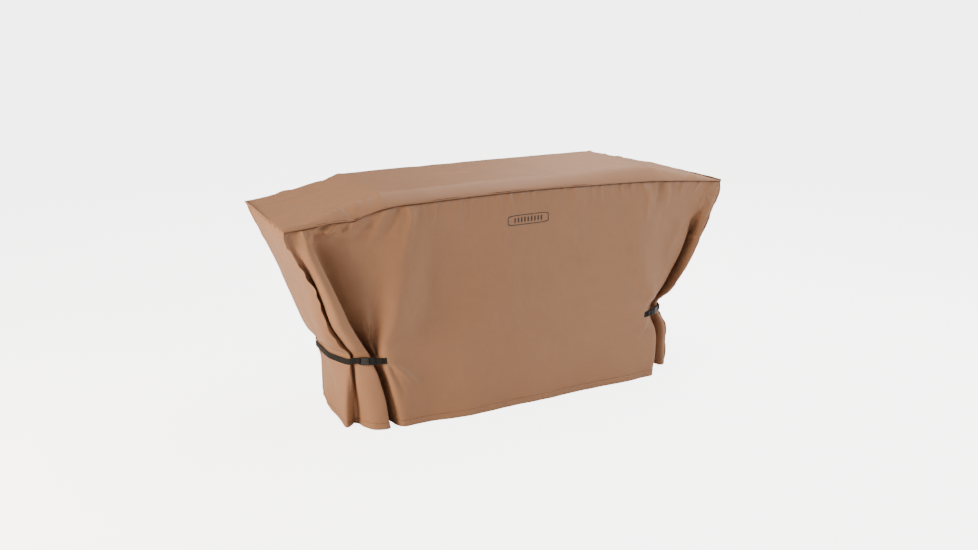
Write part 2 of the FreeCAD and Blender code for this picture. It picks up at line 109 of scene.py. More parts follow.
def gridSheet(name, columns, rows, place, measure, materials):
    # a grid bent to place(u, v); its map holds the cloth's own metres
    bm = bmesh.new()
    bmesh.ops.create_grid(bm, x_segments=columns, y_segments=rows, size=0.5)
    layer = bm.loops.layers.uv.new("cloth")
    for face in bm.faces:
        for loop in face.loops:
            loop[layer].uv = measure(loop.vert.co.x + 0.5, loop.vert.co.y + 0.5)
    for vert in bm.verts:
        vert.co = place(vert.co.x + 0.5, vert.co.y + 0.5)
    return newPiece(name, bm, materials)


def thicken(piece, thickness, offset=-1.0):
    solid = piece.modifiers.new("thickness", "SOLIDIFY")
    solid.thickness = thickness
    solid.offset = offset


def ribbonPiece(name, path, out, width, thickness, materials, across=8):
    # webbing: a grid along a path of spots and sideways directions, its face at the start towards out
    lengths = [0.0]
    for a, b in zip(path, path[1:]):
        lengths.append(lengths[-1] + (b[0] - a[0]).length)
    count = len(path) - 1

    def place(u, v):
        i = round(u * count)
        spot, side = path[i]
        return spot + side * (v - 0.5) * width

    piece = gridSheet(name, count, across, place,
                      lambda u, v: (lengths[round(u * count)], v * width), materials)
    sample = piece.data.polygons[0]
    if sample.normal.dot(out) < 0:
        piece.data.flip_normals()
    thicken(piece, thickness, 1.0)
    edge = piece.modifiers.new("edge", "BEVEL")
    edge.width = thickness * 0.3
    edge.segments = 2
    edge.limit_method = "ANGLE"
    return piece


def roundPath(corners, step):
    # even points along smooth bends through the corners
    points = []
    for i in range(len(corners) - 1):
        parts = max(2, round((corners[i + 1] - corners[i]).length / step))
        points += [between(corners, i, k / parts) for k in range(parts)]
    return points + [corners[-1]]


def stitchRun(name, spots, settings, material):
    # thread showing between the holes, one short bead at a time, evenly spaced along the spots
    bm = bmesh.new()
    run = 0.0
    nextAt = settings["pitch"] / 2
    for (a, outA), (b, outB) in zip(spots, spots[1:]):
        step = (b - a).length
        while step > 0 and nextAt <= run + step:
            t = (nextAt - run) / step
            middle = a.lerp(b, t) + outA * settings["lift"]
            ahead = (b - a).normalized()
            side = ahead.cross(outA).normalized()
            turn = Matrix((ahead, side, ahead.cross(side))).transposed().to_4x4()
            scale = Matrix.Diagonal((settings["length"] / 2, settings["thick"] / 2, settings["thick"] / 2, 1))
            bmesh.ops.create_icosphere(bm, subdivisions=1, radius=1,
                                       matrix=Matrix.Translation(middle) @ turn @ scale)
            nextAt += settings["pitch"]
        run += step
    return newPiece(name, bm, [material])


def tubePiece(name, points, radius, material):
    curve = bpy.data.curves.new(name, "CURVE")
    curve.dimensions = "3D"
    curve.bevel_depth = radius
    curve.bevel_resolution = 4
    curve.use_fill_caps = True
    spline = curve.splines.new("POLY")
    spline.points.add(len(points) - 1)
    for knot, point in zip(spline.points, points):
        knot.co = (*point, 1)
    holder = bpy.data.objects.new(name, curve)
    collection.objects.link(holder)
    bpy.context.view_layer.update()
    mesh = bpy.data.meshes.new_from_object(holder.evaluated_get(bpy.context.evaluated_depsgraph_get()))
    bpy.data.objects.remove(holder)
    piece = bpy.data.objects.new(name, mesh)
    collection.objects.link(piece)
    for face in mesh.polygons:
        face.use_smooth = True
    mesh.materials.clear()
    mesh.materials.append(material)
    return piece


def ownPiece(piece, slot, *nodes, body="cover"):
    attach(piece, body)
    if nodes:
        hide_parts(*nodes)


# materials

def nodeSet(name):
    material = bpy.data.materials.new(name)
    material.use_nodes = True
    tree = material.node_tree
    shader = next(n for n in tree.nodes if n.type == "BSDF_PRINCIPLED")
    return material, tree, shader


def addNode(tree, kind, inputs=None, **values):
    node = tree.nodes.new(kind)
    for key, value in values.items():
        setattr(node, key, value)
    for key, value in (inputs or {}).items():
        node.inputs[key].default_value = value
    return node


def clothMaterial(name, look):
    material, tree, shader = nodeSet(name)
    link = tree.links.new
    coords = addNode(tree, "ShaderNodeTexCoord")
    # slow drift of tone over the cloth, and a fainter mottling
    slow = addNode(tree, "ShaderNodeTexNoise", {"Scale": 2.4, "Detail": 3.0, "Roughness": 0.55})
    mottle = addNode(tree, "ShaderNodeTexNoise", {"Scale": 38.0, "Detail": 4.0, "Roughness": 0.6})
    link(coords.outputs["Object"], slow.inputs["Vector"])
    link(coords.outputs["Object"], mottle.inputs["Vector"])
    ramp = addNode(tree, "ShaderNodeMix", data_type="RGBA")
    ramp.inputs["A"].default_value = (*look["dark"], 1)
    ramp.inputs["B"].default_value = (*look["light"], 1)
    blend = addNode(tree, "ShaderNodeMath", {1: 0.25}, operation="MULTIPLY_ADD")
    link(mottle.outputs["Fac"], blend.inputs[0])
    link(slow.outputs["Fac"], blend.inputs[2])
    centre = addNode(tree, "ShaderNodeMath", {1: 0.125}, operation="SUBTRACT")
    link(blend.outputs[0], centre.inputs[0])
    link(centre.outputs[0], ramp.inputs["Factor"])
    # plain weave: two crossed waves of yarn in the cloth's own metres
    clothMap = addNode(tree, "ShaderNodeUVMap", uv_map="cloth")
    yarns = []
    for direction in ("X", "Y"):
        wave = addNode(tree, "ShaderNodeTexWave", {"Scale": look["yarns"], "Distortion": 0.6,
                                                   "Detail": 1.0, "Detail Scale": 2.0},
                       wave_type="BANDS", bands_direction=direction, wave_profile="SIN")
        link(clothMap.outputs["UV"], wave.inputs["Vector"])
        yarns.append(wave)
    weave = addNode(tree, "ShaderNodeMath", operation="MULTIPLY")
    link(yarns[0].outputs["Fac"], weave.inputs[0])
    link(yarns[1].outputs["Fac"], weave.inputs[1])
    tone = addNode(tree, "ShaderNodeMix", {"Factor": 0.1}, data_type="RGBA", blend_type="MULTIPLY")
    link(ramp.outputs["Result"], tone.inputs["A"])
    link(weave.outputs[0], tone.inputs["B"])
    colour = tone.outputs["Result"]
    if "shadeFrom" in look:
        # painted shade: a thin band of the wall just under the top seam is darkened in colour, standing in
        # for the shadow under the seam's lip
        height = addNode(tree, "ShaderNodeSeparateXYZ")
        link(clothMap.outputs["UV"], height.inputs[0])
        band = addNode(tree, "ShaderNodeMapRange", {"From Min": look["shadeFrom"],
                                                    "From Max": look["shadeFrom"] + 0.0035,
                                                    "To Min": 0.0, "To Max": 0.72})
        link(height.outputs["Y"], band.inputs["Value"])
        shade = addNode(tree, "ShaderNodeMix", data_type="RGBA", blend_type="MULTIPLY")
        shade.inputs["B"].default_value = (0.16, 0.12, 0.10, 1)
        link(band.outputs["Result"], shade.inputs["Factor"])
        link(colour, shade.inputs["A"])
        colour = shade.outputs["Result"]
    link(colour, shader.inputs["Base Color"])
    # coated face: satin, a little patchy
    gloss = addNode(tree, "ShaderNodeMapRange", {"To Min": look["rough"] - 0.05,
                                                 "To Max": look["rough"] + 0.07})
    link(mottle.outputs["Fac"], gloss.inputs["Value"])
    link(gloss.outputs["Result"], shader.inputs["Roughness"])
    fine = addNode(tree, "ShaderNodeBump", {"Strength": 0.25, "Distance": 0.00025})
    link(weave.outputs[0], fine.inputs["Height"])
    crinkle = addNode(tree, "ShaderNodeTexNoise", {"Scale": 16.0, "Detail": 3.0, "Roughness": 0.5,
                                                   "Distortion": 0.4})
    link(coords.outputs["Object"], crinkle.inputs["Vector"])
    soft = addNode(tree, "ShaderNodeBump", {"Strength": look["crinkle"], "Distance": 0.006})
    link(crinkle.outputs["Fac"], soft.inputs["Height"])
    link(fine.outputs["Normal"], soft.inputs["Normal"])
    link(soft.outputs["Normal"], shader.inputs["Normal"])
    shader.inputs["Sheen Weight"].default_value = look["sheen"]
    shader.inputs["Sheen Roughness"].default_value = 0.4
    shader.inputs["Sheen Tint"].default_value = (1.0, 0.84, 0.7, 1)
    shader.inputs["Specular IOR Level"].default_value = look["specular"]
    return material


clothLook = {"dark": (0.298, 0.157, 0.089), "light": (0.347, 0.187, 0.109), "rough": 0.47,
             "yarns": 700.0, "crinkle": 0.2, "sheen": 0.0, "specular": 0.2}
coverCloth = clothMaterial("coverCloth", clothLook)
# the walls' material adds a painted shade band just under the top seam
wallCloth = clothMaterial("wallCloth", {**clothLook, "shadeFrom": 0.8405})
seamCloth = clothMaterial("seamCloth", {**clothLook, "light": (0.38, 0.204, 0.118), "crinkle": 0.3})
liningCloth = clothMaterial("liningCloth", {"dark": (0.16, 0.105, 0.075), "light": (0.2, 0.13, 0.095),
                                            "rough": 0.62, "yarns": 700.0, "crinkle": 0.2,
                                            "sheen": 0.05, "specular": 0.3})


def webbingMaterial():
    material, tree, shader = nodeSet("webbing")
    link = tree.links.new
    clothMap = addNode(tree, "ShaderNodeUVMap", uv_map="cloth")
    ribs = addNode(tree, "ShaderNodeTexWave", {"Scale": 95.0, "Distortion": 1.0, "Detail": 2.0,
                                               "Detail Scale": 4.0},
                   wave_type="BANDS", bands_direction="X")
    rows = addNode(tree, "ShaderNodeTexWave", {"Scale": 160.0, "Distortion": 0.6, "Detail": 1.0},
                   wave_type="BANDS", bands_direction="DIAGONAL")
    weave = addNode(tree, "ShaderNodeMath", operation="MULTIPLY")
    for wave, slot in ((ribs, 0), (rows, 1)):
        link(clothMap.outputs["UV"], wave.inputs["Vector"])
        link(wave.outputs["Fac"], weave.inputs[slot])
    ramp = addNode(tree, "ShaderNodeMix", data_type="RGBA")
    ramp.inputs["A"].default_value = (0.002, 0.002, 0.0025, 1)
    ramp.inputs["B"].default_value = (0.009, 0.009, 0.011, 1)
    link(weave.outputs[0], ramp.inputs["Factor"])
    link(ramp.outputs["Result"], shader.inputs["Base Color"])
    bump = addNode(tree, "ShaderNodeBump", {"Strength": 0.6, "Distance": 0.0005})
    link(weave.outputs[0], bump.inputs["Height"])
    link(bump.outputs["Normal"], shader.inputs["Normal"])
    shader.inputs["Roughness"].default_value = 0.6
    shader.inputs["Specular IOR Level"].default_value = 0.22
    return material


def grainMaterial(name, look):
    material, tree, shader = nodeSet(name)
    link = tree.links.new
    coords = addNode(tree, "ShaderNodeTexCoord")
    grain = addNode(tree, "ShaderNodeTexNoise", {"Scale": look["scale"], "Detail": 3.0})
    link(coords.outputs["Object"], grain.inputs["Vector"])
    ramp = addNode(tree, "ShaderNodeMix", data_type="RGBA")
    ramp.inputs["A"].default_value = (*look["dark"], 1)
    ramp.inputs["B"].default_value = (*look["light"], 1)
    link(grain.outputs["Fac"], ramp.inputs["Factor"])
    link(ramp.outputs["Result"], shader.inputs["Base Color"])
    gloss = addNode(tree, "ShaderNodeMapRange", {"To Min": look["rough"] - 0.08,
                                                 "To Max": look["rough"] + 0.1})
    link(grain.outputs["Fac"], gloss.inputs["Value"])
    link(gloss.outputs["Result"], shader.inputs["Roughness"])
    bump = addNode(tree, "ShaderNodeBump", {"Strength": look["bump"], "Distance": 0.0003})
    link(grain.outputs["Fac"], bump.inputs["Height"])
    link(bump.outputs["Normal"], shader.inputs["Normal"])
    return material


webbing = webbingMaterial()
thread = grainMaterial("thread", {"dark": (0.01, 0.01, 0.011), "light": (0.04, 0.04, 0.043),
                                  "scale": 1500.0, "rough": 0.55, "bump": 0.4})
tanThread = grainMaterial("tanThread", {"dark": (0.24, 0.145, 0.095), "light": (0.34, 0.215, 0.145),
                                        "scale": 1500.0, "rough": 0.5, "bump": 0.4})
plastic = grainMaterial("bucklePlastic", {"dark": (0.004, 0.004, 0.0045), "light": (0.008, 0.008, 0.009),
                                          "scale": 1800.0, "rough": 0.38, "bump": 0.2})
markInk = grainMaterial("markInk", {"dark": (0.018, 0.014, 0.012), "light": (0.035, 0.027, 0.022),
                                    "scale": 900.0, "rough": 0.5, "bump": 0.2})
print("stage: materials")

# cloth walls: cross-sections at each height, each a row of stations

strapLevel = 0.295
levels = (0.853, 0.80, 0.72, 0.60, 0.45, 0.36, 0.312, 0.278, 0.20, 0.10, 0.0)
leftFolds = (
    # corner seam, gap behind it, left of the roll, its crest, its edge, under it,
    # valley floor, far side, small ridge, small dip, soft ridge
    ((-0.982, -0.259), (-0.965, -0.260), (-0.945, -0.262), (-0.920, -0.263),
     (-0.885, -0.263), (-0.866, -0.263), (-0.840, -0.263), (-0.790, -0.263),
     (-0.715, -0.263), (-0.605, -0.263), (-0.490, -0.263)),
    ((-0.964, -0.254), (-0.950, -0.257), (-0.934, -0.264), (-0.908, -0.276),
     (-0.884, -0.270), (-0.880, -0.254), (-0.860, -0.238), (-0.805, -0.244),
     (-0.730, -0.252), (-0.620, -0.260), (-0.500, -0.273)),
    ((-0.928, -0.246), (-0.911, -0.240), (-0.906, -0.256), (-0.884, -0.279),
     (-0.858, -0.272), (-0.862, -0.236), (-0.840, -0.192), (-0.785, -0.212),
     (-0.716, -0.238), (-0.630, -0.254), (-0.515, -0.280)),
    ((-0.872, -0.233), (-0.844, -0.190), (-0.858, -0.240), (-0.838, -0.277),
     (-0.807, -0.270), (-0.816, -0.222), (-0.795, -0.170), (-0.748, -0.193),
     (-0.688, -0.226), (-0.622, -0.250), (-0.540, -0.284)),
    ((-0.818, -0.216), (-0.788, -0.170), (-0.806, -0.222), (-0.784, -0.265),
     (-0.745, -0.260), (-0.754, -0.208), (-0.730, -0.160), (-0.697, -0.184),
     (-0.662, -0.218), (-0.636, -0.222), (-0.578, -0.281)),
    ((-0.766, -0.203), (-0.738, -0.160), (-0.753, -0.207), (-0.730, -0.244),
     (-0.694, -0.245), (-0.701, -0.196), (-0.682, -0.152), (-0.668, -0.176),
     (-0.655, -0.220), (-0.640, -0.200), (-0.608, -0.2655)),
    ((-0.732, -0.193), (-0.712, -0.165), (-0.717, -0.194), (-0.702, -0.211),
     (-0.665, -0.231), (-0.669, -0.198), (-0.655, -0.156), (-0.648, -0.176),
     (-0.640, -0.226), (-0.632, -0.205), (-0.612, -0.2615)),
    ((-0.731, -0.192), (-0.708, -0.163), (-0.713, -0.194), (-0.697, -0.212),
     (-0.655, -0.235), (-0.658, -0.198), (-0.644, -0.154), (-0.637, -0.172),
     (-0.630, -0.212), (-0.624, -0.214), (-0.610, -0.2615)),
    ((-0.724, -0.186), (-0.703, -0.160), (-0.708, -0.198), (-0.676, -0.233),
     (-0.628, -0.247), (-0.634, -0.203), (-0.630, -0.148), (-0.616, -0.152),
     (-0.604, -0.185), (-0.600, -0.225), (-0.587, -0.264)),
    ((-0.712, -0.160), (-0.696, -0.156), (-0.692, -0.194), (-0.660, -0.236),
     (-0.606, -0.249), (-0.614, -0.203), (-0.612, -0.148), (-0.598, -0.150),
     (-0.584, -0.185), (-0.578, -0.228), (-0.561, -0.264)),
    ((-0.705, -0.132), (-0.688, -0.146), (-0.678, -0.190), (-0.650, -0.233),
     (-0.592, -0.246), (-0.600, -0.203), (-0.598, -0.148), (-0.584, -0.150),
     (-0.570, -0.188), (-0.561, -0.228), (-0.540, -0.258)),
)
frontMiddle = (
    ((-0.38, -0.263), (-0.15, -0.263), (0.12, -0.263), (0.34, -0.263), (0.500, -0.263)),
    ((-0.38, -0.263), (-0.15, -0.263), (0.12, -0.263), (0.34, -0.263), (0.500, -0.264)),
    ((-0.38, -0.255), (-0.15, -0.263), (0.12, -0.263), (0.34, -0.262), (0.490, -0.265)),
    ((-0.40, -0.250), (-0.15, -0.263), (0.12, -0.263), (0.34, -0.261), (0.480, -0.264)),
    ((-0.42, -0.247), (-0.16, -0.264), (0.12, -0.263), (0.35, -0.260), (0.530, -0.265)),
    ((-0.44, -0.251), (-0.18, -0.267), (0.12, -0.265), (0.36, -0.261), (0.580, -0.263)),
    ((-0.45, -0.260), (-0.20, -0.269), (0.12, -0.267), (0.38, -0.262), (0.609, -0.2622)),
    ((-0.45, -0.261), (-0.20, -0.270), (0.12, -0.268), (0.38, -0.263), (0.609, -0.2622)),
    ((-0.44, -0.262), (-0.22, -0.275), (0.11, -0.272), (0.38, -0.267), (0.600, -0.264)),
    ((-0.43, -0.263), (-0.24, -0.278), (0.10, -0.275), (0.38, -0.270), (0.590, -0.267)),
    ((-0.42, -0.262), (-0.25, -0.281), (0.10, -0.277), (0.38, -0.273), (0.580, -0.271)),
)
rightFolds = (
    # soft ridge, hollow, its far side, deep fold, inner edge of the strip, its crest, corner seam
    ((0.592, -0.263), (0.740, -0.263), (0.850, -0.263), (0.895, -0.263),
     (0.922, -0.263), (0.955, -0.262), (0.984, -0.260)),
    ((0.587, -0.267), (0.730, -0.257), (0.845, -0.252), (0.905, -0.252),
     (0.930, -0.256), (0.958, -0.264), (0.978, -0.258)),
    ((0.578, -0.269), (0.715, -0.249), (0.835, -0.238), (0.896, -0.236),
     (0.908, -0.249), (0.932, -0.262), (0.952, -0.250)),
    ((0.572, -0.269), (0.698, -0.241), (0.838, -0.224), (0.876, -0.178),
     (0.879, -0.240), (0.891, -0.256), (0.906, -0.242)),
    ((0.612, -0.269), (0.698, -0.234), (0.784, -0.202), (0.816, -0.160),
     (0.815, -0.222), (0.824, -0.238), (0.837, -0.224)),
    ((0.650, -0.262), (0.700, -0.222), (0.740, -0.188), (0.764, -0.152),
     (0.763, -0.198), (0.772, -0.213), (0.784, -0.202)),
    ((0.655, -0.2290), (0.680, -0.205), (0.694, -0.176), (0.708, -0.158),
     (0.707, -0.187), (0.715, -0.196), (0.731, -0.188)),
    ((0.653, -0.2260), (0.680, -0.200), (0.694, -0.172), (0.706, -0.156),
     (0.706, -0.186), (0.714, -0.195), (0.729, -0.187)),
    ((0.671, -0.258), (0.682, -0.195), (0.704, -0.118), (0.736, -0.102),
     (0.746, -0.178), (0.760, -0.192), (0.776, -0.184)),
    ((0.673, -0.264), (0.684, -0.195), (0.706, -0.114), (0.742, -0.098),
     (0.754, -0.172), (0.770, -0.187), (0.788, -0.178)),
    ((0.663, -0.268), (0.678, -0.195), (0.702, -0.112), (0.742, -0.096),
     (0.757, -0.168), (0.774, -0.182), (0.793, -0.172)),
)
rearLeftSeam = ((-0.984, 0.260), (-0.964, 0.257), (-0.932, 0.251), (-0.882, 0.244), (-0.828, 0.230),
                (-0.790, 0.210), (-0.735, 0.193), (-0.731, 0.192), (-0.724, 0.195), (-0.722, 0.196),
                (-0.724, 0.195))
endCorner = ((-0.983, -0.200), (-0.966, -0.197), (-0.934, -0.192), (-0.886, -0.186), (-0.842, -0.178),
             (-0.802, -0.172), (-0.744, -0.170), (-0.742, -0.170), (-0.744, -0.180), (-0.747, -0.174),
             (-0.743, -0.162))
endBulge = (0.983, 0.970, 0.938, 0.893, 0.850, 0.818, 0.777, 0.776, 0.758, 0.752, 0.744)
endBulgeHalf = (0.10, 0.10, 0.10, 0.10, 0.095, 0.09, 0.08, 0.08, 0.085, 0.09, 0.09)

frontStations = [[Vector(p) for p in a + b + c] for a, b, c in zip(leftFolds, frontMiddle, rightFolds)]
rearStations = [[-p for p in row] for row in frontStations]
for row, seam in zip(rearStations, rearLeftSeam):
    shift = Vector(seam) - row[-1]
    for back, share in ((1, 1.0), (2, 1.0), (3, 0.9), (4, 0.6)):
        row[-back] = row[-back] + shift * share
leftStations = []
rightStations = []
for i in range(len(levels)):
    frontLeft, frontRight = frontStations[i][0], frontStations[i][-1]
    rearLeft, rearRight = rearStations[i][-1], rearStations[i][0]
    half = endBulgeHalf[i]
    reach = endBulge[i]
    corner = Vector(endCorner[i])
    leftStations.append([rearLeft, Vector((-reach, half)), Vector((-reach - 0.002, 0)),
                         Vector((-reach, -half)), corner, frontLeft])
    rightReach = max(reach, frontRight.x + 0.004)
    rightMiddle = Vector(((rightReach + reach) / 2 + 0.002, 0))
    rightStations.append([frontRight, Vector((rightReach, -half)), rightMiddle, Vector((reach, half)),
                          -corner, rearRight])

# height of the top seam along the front; the back is the same turned round
frontSeam = ((-0.985, 0.852), (-0.902, 0.858), (-0.808, 0.867), (-0.751, 0.868), (-0.718, 0.868),
             (-0.674, 0.882), (-0.598, 0.900), (-0.535, 0.906), (-0.454, 0.907), (-0.201, 0.911),
             (0.066, 0.911), (0.35, 0.903), (0.59, 0.895), (0.71, 0.886), (0.866, 0.872), (0.985, 0.860))
rearSeam = tuple((-x, z) for x, z in reversed(frontSeam))


def seamHeight(x, y):
    front = along(frontSeam, x)
    rear = along(rearSeam, x)
    return front + (rear - front) * smooth(-0.26, 0.26, y)


def raised(flat, h):
    # the spot over flat at height h, lifted towards the top seam
    lift = (seamHeight(flat.x, flat.y) - levels[0]) * max(h / levels[0], 0) ** 1.5
    return Vector((flat.x, flat.y, h + lift))


def stationsAt(table, height):
    rows = []
    for k in range(len(table[0])):
        xs = [(h, row[k].x) for h, row in zip(reversed(levels), reversed(table))]
        ys = [(h, row[k].y) for h, row in zip(reversed(levels), reversed(table))]
        rows.append(Vector((along(xs, height), along(ys, height))))
    return rows


def wallRows(high, low, count):
    # heights from high to low, closer together around the strap and under the top seam
    steps = 1000
    run = [0.0]
    for i in range(steps):
        h = high + (low - high) * (i + 0.5) / steps
        run.append(run[-1] + 1 + 1.1 * bell(h, strapLevel, 0.05) + 0.8 * bell(h, levels[0], 0.04))
    heights = []
    i = 0
    for k in range(count + 1):
        while i < steps and run[i] < run[-1] * k / count:
            i += 1
        heights.append(high + (low - high) * i / steps)
    return heights


def spread(table, columns):
    # share the columns among the spans by their mean length, with extra for the short ones in the folds
    spans = len(table[0]) - 1
    lengths = [sum((row[k + 1] - row[k]).length for row in table) / len(table) + 0.02
               for k in range(spans)]
    total = sum(lengths)
    ends = [0.0]
    for length in lengths:
        ends.append(ends[-1] + length / total)
    places = []
    for j in range(columns + 1):
        u = j / columns
        k = min(spans - 1, max(i for i in range(spans) if ends[i] <= u + 1e-9))
        places.append((k, (u - ends[k]) / (ends[k + 1] - ends[k])))
    return places


def wallRow(table, places, h, detail, offset):
    # one row of the finished surface, each spot with its outward direction
    stations = stationsAt(table, h)
    row = [raised(between(stations, k, t), h) for k, t in places]
    spots = []
    last = len(row) - 1
    for j, point in enumerate(row):
        across = row[min(j + 1, last)] - row[max(j - 1, 0)]
        out = Vector((across.y, -across.x, 0)).normalized()
        edge = smooth(0, 0.008, min(j, last - j) / last)
        spots.append((point + out * (detail(point, h) * edge + offset), out))
    return spots


def buildWall(name, table, columns, detail, settings, material):
    heights = wallRows(settings["high"], settings["low"], settings["rows"])
    places = spread(table, columns)
    rows = [wallRow(table, places, h, detail, settings["offset"]) for h in heights]
    middle = rows[len(rows) // 2]
    width = sum((b[0] - a[0]).length for a, b in zip(middle, middle[1:]))
    count = settings["rows"]
    return gridSheet(name, columns, count, lambda u, v: rows[round((1 - v) * count)][round(u * columns)][0],
                     lambda u, v: (u * width, heights[round((1 - v) * count)]), [material])


def drift(point, size, seed):
    return noise.noise(Vector((point.x * size, point.y * size + seed, point.z * size)))


creases = (
    # start and end in x and z, width, height: pulls from the front tacks
    (-0.588, 0.288, -0.480, 0.170, 0.011, 0.0100), (-0.592, 0.270, -0.540, 0.150, 0.010, -0.0070),
    (-0.655, 0.372, -0.668, 0.440, 0.007, -0.0070), (0.640, 0.300, 0.560, 0.180, 0.016, 0.0060),
    # the left roll's shoulder and the fold under it
    (-0.893, 0.800, -0.872, 0.834, 0.010, 0.0070), (-0.880, 0.836, -0.800, 0.832, 0.010, 0.0085),
    (-0.868, 0.806, -0.805, 0.806, 0.011, -0.0095),
    # crumples under the left end of the front seam
    (-0.830, 0.820, -0.755, 0.858, 0.009, 0.0110), (-0.850, 0.845, -0.800, 0.862, 0.008, -0.0070),
    (-0.765, 0.826, -0.730, 0.846, 0.009, -0.0090), (-0.733, 0.836, -0.700, 0.872, 0.008, 0.0110),
    (-0.790, 0.795, -0.640, 0.800, 0.018, -0.0055), (-0.700, 0.800, -0.640, 0.858, 0.013, -0.0070),
    # long soft ridges below the raised top's corners
    (-0.586, 0.895, -0.655, 0.765, 0.015, 0.0085), (-0.540, 0.890, -0.600, 0.780, 0.014, -0.0060),
    (-0.480, 0.895, -0.532, 0.700, 0.016, 0.0065), (-0.300, 0.910, -0.310, 0.700, 0.030, 0.0034),
    (0.240, 0.905, 0.250, 0.640, 0.030, 0.0034), (0.600, 0.870, 0.585, 0.720, 0.014, 0.0068),
    (0.655, 0.880, 0.640, 0.760, 0.014, -0.0076), (0.690, 0.875, 0.700, 0.780, 0.016, 0.0085),
    # folds across the right strip
    (0.780, 0.874, 0.768, 0.820, 0.010, 0.0076), (0.905, 0.790, 0.880, 0.700, 0.010, 0.0060),
    (0.915, 0.785, 0.945, 0.765, 0.008, 0.0080), (0.895, 0.705, 0.925, 0.692, 0.008, 0.0080),
    (0.860, 0.618, 0.892, 0.604, 0.008, 0.0070), (0.800, 0.690, 0.740, 0.560, 0.020, 0.0060),
)


def creaseHeight(table, x, z):
    total = 0.0
    for x0, z0, x1, z1, width, height in table:
        dx, dz = x1 - x0, z1 - z0
        t = ((x - x0) * dx + (z - z0) * dz) / (dx * dx + dz * dz)
        if not -0.3 < t < 1.3:
            continue
        away = (x - x0 - dx * t) ** 2 + (z - z0 - dz * t) ** 2
        total += height * math.exp(-away / width ** 2) * smooth(-0.15, 0.15, t) * smooth(1.25, 0.55, t)
    return total


# small relief of the walls: puckers and tuck under the seam, slow waves, and the ripple by the hem
relief = {"pucker": 0.0095, "puckerPitch": 57, "puckerFade": 0.034, "tuck": 0.0042, "tuckDepth": 0.007,
          "tuckSpread": 0.0045, "wave": 0.0048, "ripple": 0.0022, "hemWave": 0.0035, "hemWaveTop": 0.22,
          "calmSpread": 0.03, "backShare": 0.6}


def wallDetail(point, h):
    # puckers under the top seam, creases, slow waves in the flat cloth, ripples near the hem
    depth = seamHeight(point.x, point.y) - point.z
    across = point.x + point.y
    turn = across * relief["puckerPitch"] + 2.6 * drift(point, 4, 7)
    pucker = 1.5 * (1 - abs(math.sin(turn))) ** 2 - 0.3
    uneven = 0.3 + abs(drift(Vector((across, 0, 0)), 7, 2)) * 2.6
    value = relief["pucker"] * pucker * math.exp(-depth / relief["puckerFade"]) * uneven
    value *= smooth(-0.002, 0.016, depth)
    value -= relief["tuck"] * math.exp(-((depth - relief["tuckDepth"]) / relief["tuckSpread"]) ** 2)
    calm = 1 - bell(h, strapLevel, relief["calmSpread"])
    value += relief["wave"] * drift(Vector((point.x, point.y, point.z * 0.45)), 5.2, 11) * calm
    value += relief["ripple"] * drift(Vector((point.x, point.y, point.z * 0.6)), 17, 23) * calm
    hemWave = relief["hemWave"] * math.sin(point.x * 17 + 2.2 * drift(point, 3, 5))
    value += hemWave * smooth(relief["hemWaveTop"], 0.0, point.z) * calm
    if point.y < -0.15:
        value += creaseHeight(creases, point.x, point.z) * calm
    elif point.y > 0.15:
        # the back has the same folds turned round, fainter, and none by its left corner
        fade = relief["backShare"] * smooth(-0.90, -0.80, point.x)
        value += creaseHeight(creases, -point.x, point.z) * calm * fade
    return value


# cut is each sheet's flat height
wallSettings = {"high": levels[0], "low": 0.0245, "rows": 120, "offset": 0.0, "thickness": 0.0009,
                "cut": 0.93}
hemSettings = {"high": 0.0262, "low": 0.0008, "rows": 5, "offset": 0.0007, "thickness": 0.0024,
               "cut": 0.027}
hemStitch = {"pitch": 0.0042, "length": 0.0031, "thick": 0.0007, "lift": 0.0002}
hemStitchLevel = 0.0215
tables = {"front": (frontStations, 340), "rear": (rearStations, 340),
          "left": (leftStations, 90), "right": (rightStations, 90)}
walls = {}
for side, (table, columns) in tables.items():
    wall = buildWall(f"{side}Wall", table, columns, wallDetail, wallSettings, wallCloth)
    walls[side] = wall
    hem = buildWall(f"{side}Hem", table, columns, wallDetail, hemSettings, coverCloth)
    run = wallRow(table, spread(table, columns * 2), hemStitchLevel, wallDetail, hemSettings["offset"])
    stitches = stitchRun(f"{side}HemStitches", run, hemStitch, tanThread)
    thicken(wall, wallSettings["thickness"])
    thicken(hem, hemSettings["thickness"])
    panel = f"{side}_panel" if side in ("front", "rear") else f"{side}_end_panel"
    ownPiece(wall, "cover_cloth", panel)
    ownPiece(hem, "hem_cloth", f"{side}_hem")
    ownPiece(stitches, "thread")
print("stage: walls and hems")

# corner seams: the two plies of the allowance stand out, and dodge where the strap presses them
finSettings = {"thickness": 0.0019, "wave": 0.56, "step": 0.005, "mapWidth": 0.015,
               "upper": (0.842, 0.322), "lower": (0.268, 0.024)}
# which way the allowance lies at each height, from over the end (-1) to over the long wall (1)
finLean = ((0.0, -0.3), (0.25, -0.3), (0.33, 0.1), (0.50, 0.3), (0.565, 0.9), (0.64, 1.0),
           (0.70, 0.6), (0.73, -0.7), (0.79, -0.4), (0.85, 0.1))


